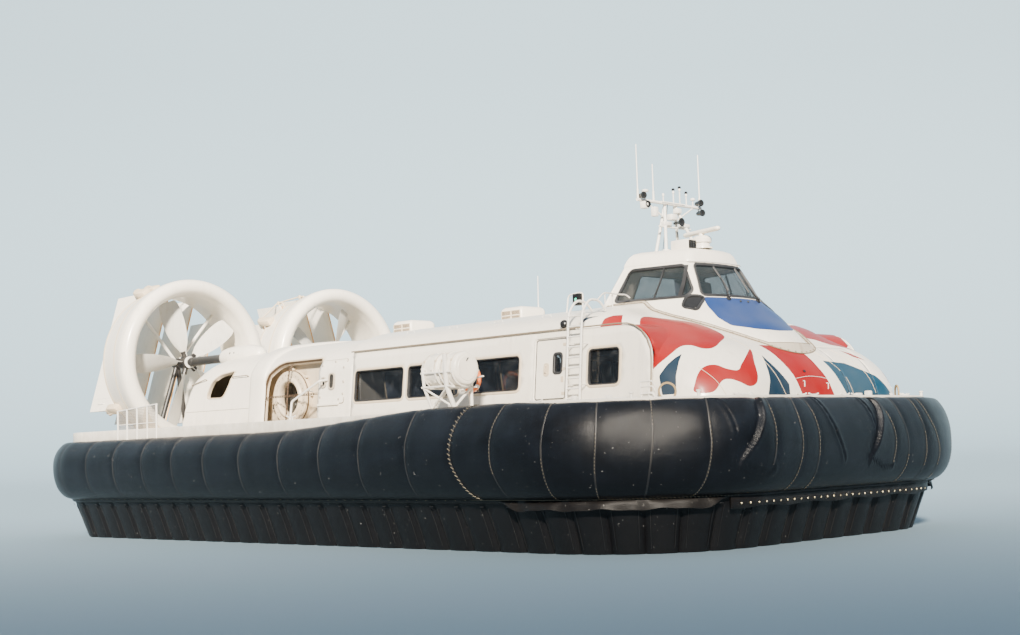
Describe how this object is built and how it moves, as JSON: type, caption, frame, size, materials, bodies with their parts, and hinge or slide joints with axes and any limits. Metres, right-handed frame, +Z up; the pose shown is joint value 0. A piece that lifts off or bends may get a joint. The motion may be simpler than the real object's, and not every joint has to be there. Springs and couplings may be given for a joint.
{
  "type": "passenger hovercraft",
  "caption": "Amphibious passenger hovercraft with an inflated skirt, side cabin doors, raised wheelhouse, ducted propellers with rudders and side lift fans.",
  "frame": {"origin": "on the floor under the middle of the craft", "axes": "+X forward to the bow, +Y to port, +Z up"},
  "size_m": [23.7, 12.7, 8.83],
  "materials": {
    "white_paint": "gloss",
    "skirt_rubber": "satin",
    "dark_glass": "gloss",
    "seat_fabric": "matte",
    "machine_metal": "satin",
    "red_paint": "gloss",
    "blue_paint": "gloss",
    "black_paint": "satin",
    "propeller_black": "satin"
  },
  "bodies": {
    "craft": {"hull": "white_paint", "skirt_bag_fore": "skirt_rubber", "skirt_bag_aft": "skirt_rubber", "skirt_fingers_fore": "skirt_rubber", "skirt_fingers_aft": "skirt_rubber", "cabin_roof": "white_paint", "cabin_bulkhead": "white_paint", "cabin_seats": "seat_fabric", "bow_dome": "red_paint", "wheelhouse": "white_paint", "wheelhouse_roof": "white_paint", "wheelhouse_helm": "seat_fabric", "windscreen": "dark_glass", "air_unit_fore": "white_paint", "air_unit_aft": "white_paint", "mast": "white_paint", "radar_post": "white_paint", "cabin_side_starboard": "white_paint", "cabin_side_port": "white_paint", "side_glass_aft_starboard": "dark_glass", "side_glass_aft_port": "dark_glass", "side_glass_fore_starboard": "dark_glass", "side_glass_fore_port": "dark_glass", "wheelhouse_glass_starboard": "dark_glass", "wheelhouse_glass_port": "dark_glass", "lift_bay_starboard": "white_paint", "lift_bay_port": "white_paint", "engine_cowl_starboard": "white_paint", "engine_cowl_port": "white_paint", "engine_starboard": "machine_metal", "engine_port": "machine_metal", "duct_starboard": "white_paint", "duct_port": "white_paint", "propeller_shaft_starboard": "black_paint", "propeller_shaft_port": "black_paint", "propeller_pylon_starboard": "black_paint", "propeller_pylon_port": "black_paint", "liferafts_starboard": "white_paint", "liferafts_port": "white_paint", "ladder_starboard": "white_paint", "ladder_port": "white_paint"},
    "bow_door": {"bow_door": "blue_paint"},
    "radar_scanner": {"radar_scanner": "white_paint"},
    "side_door_starboard": {"side_door_starboard": "white_paint"},
    "side_door_port": {"side_door_port": "white_paint"},
    "lift_fan_starboard": {"lift_fan_starboard": "machine_metal"},
    "lift_fan_port": {"lift_fan_port": "machine_metal"},
    "propeller_starboard": {"propeller_starboard": "propeller_black"},
    "propeller_port": {"propeller_port": "propeller_black"},
    "rudder_1_starboard": {"rudder_1_starboard": "white_paint"},
    "rudder_1_port": {"rudder_1_port": "white_paint"},
    "rudder_2_starboard": {"rudder_2_starboard": "white_paint"},
    "rudder_2_port": {"rudder_2_port": "white_paint"},
    "rudder_3_starboard": {"rudder_3_starboard": "white_paint"},
    "rudder_3_port": {"rudder_3_port": "white_paint"},
    "rudder_4_starboard": {"rudder_4_starboard": "white_paint"},
    "rudder_4_port": {"rudder_4_port": "white_paint"}
  },
  "joints": [
    {"name": "propeller_starboard_spin", "type": "hinge", "parent": "craft", "child": "propeller_starboard", "pos_m": [-8.95, -2.64, 4.88], "axis": [1, 0, 0], "continuous": true},
    {"name": "lift_fan_starboard_spin", "type": "hinge", "parent": "craft", "child": "lift_fan_starboard", "pos_m": [-2.85, -2.8, 3.56], "axis": [0, 1, 0], "continuous": true},
    {"name": "propeller_port_spin", "type": "hinge", "parent": "craft", "child": "propeller_port", "pos_m": [-8.95, 2.64, 4.88], "axis": [1, 0, 0], "continuous": true},
    {"name": "lift_fan_port_spin", "type": "hinge", "parent": "craft", "child": "lift_fan_port", "pos_m": [-2.85, 2.8, 3.56], "axis": [0, 1, 0], "continuous": true},
    {"name": "radar_turn", "type": "hinge", "parent": "craft", "child": "radar_scanner", "pos_m": [8.06, -0.1, 6.7], "axis": [0, 0, 1], "continuous": true},
    {"name": "rudder_1_starboard_steer", "type": "hinge", "parent": "craft", "child": "rudder_1_starboard", "pos_m": [-10.2, -3.89925, 5.24108], "axis": [0, 0.2756, 0.9613], "range_deg": [-30, 30]},
    {"name": "rudder_2_starboard_steer", "type": "hinge", "parent": "craft", "child": "rudder_2_starboard", "pos_m": [-10.2, -3.06007, 5.00045], "axis": [0, 0.2756, 0.9613], "range_deg": [-30, 30]},
    {"name": "rudder_3_starboard_steer", "type": "hinge", "parent": "craft", "child": "rudder_3_starboard", "pos_m": [-10.2, -2.21993, 4.75955], "axis": [0, 0.2756, 0.9613], "range_deg": [-30, 30]},
    {"name": "rudder_4_starboard_steer", "type": "hinge", "parent": "craft", "child": "rudder_4_starboard", "pos_m": [-10.2, -1.38075, 4.51892], "axis": [0, 0.2756, 0.9613], "range_deg": [-30, 30]},
    {"name": "rudder_1_port_steer", "type": "hinge", "parent": "craft", "child": "rudder_1_port", "pos_m": [-10.2, 3.89925, 5.24108], "axis": [0, -0.2756, 0.9613], "range_deg": [-30, 30]},
    {"name": "rudder_2_port_steer", "type": "hinge", "parent": "craft", "child": "rudder_2_port", "pos_m": [-10.2, 3.06007, 5.00045], "axis": [0, -0.2756, 0.9613], "range_deg": [-30, 30]},
    {"name": "rudder_3_port_steer", "type": "hinge", "parent": "craft", "child": "rudder_3_port", "pos_m": [-10.2, 2.21993, 4.75955], "axis": [0, -0.2756, 0.9613], "range_deg": [-30, 30]},
    {"name": "rudder_4_port_steer", "type": "hinge", "parent": "craft", "child": "rudder_4_port", "pos_m": [-10.2, 1.38075, 4.51892], "axis": [0, -0.2756, 0.9613], "range_deg": [-30, 30]},
    {"name": "side_door_starboard_hinge", "type": "hinge", "parent": "craft", "child": "side_door_starboard", "pos_m": [7.204, -3.7204, 3.71781], "axis": [0, -0.1084, -0.9941], "range_deg": [0, 95]},
    {"name": "side_door_port_hinge", "type": "hinge", "parent": "craft", "child": "side_door_port", "pos_m": [7.204, 3.7204, 3.71781], "axis": [0, -0.1084, 0.9941], "range_deg": [0, 95]},
    {"name": "bow_door_hinge", "type": "hinge", "parent": "craft", "child": "bow_door", "pos_m": [10.212, 1.45, 4.093], "axis": [0, -1, 0], "range_deg": [0, 95]}
  ],
  "couplings": [
    {"joint": "rudder_2_starboard_steer", "follows": "rudder_1_starboard_steer", "ratio": 1},
    {"joint": "rudder_3_starboard_steer", "follows": "rudder_1_starboard_steer", "ratio": 1},
    {"joint": "rudder_4_starboard_steer", "follows": "rudder_1_starboard_steer", "ratio": 1},
    {"joint": "rudder_1_port_steer", "follows": "rudder_1_starboard_steer", "ratio": 1},
    {"joint": "rudder_2_port_steer", "follows": "rudder_1_starboard_steer", "ratio": 1},
    {"joint": "rudder_3_port_steer", "follows": "rudder_1_starboard_steer", "ratio": 1},
    {"joint": "rudder_4_port_steer", "follows": "rudder_1_starboard_steer", "ratio": 1}
  ]
}
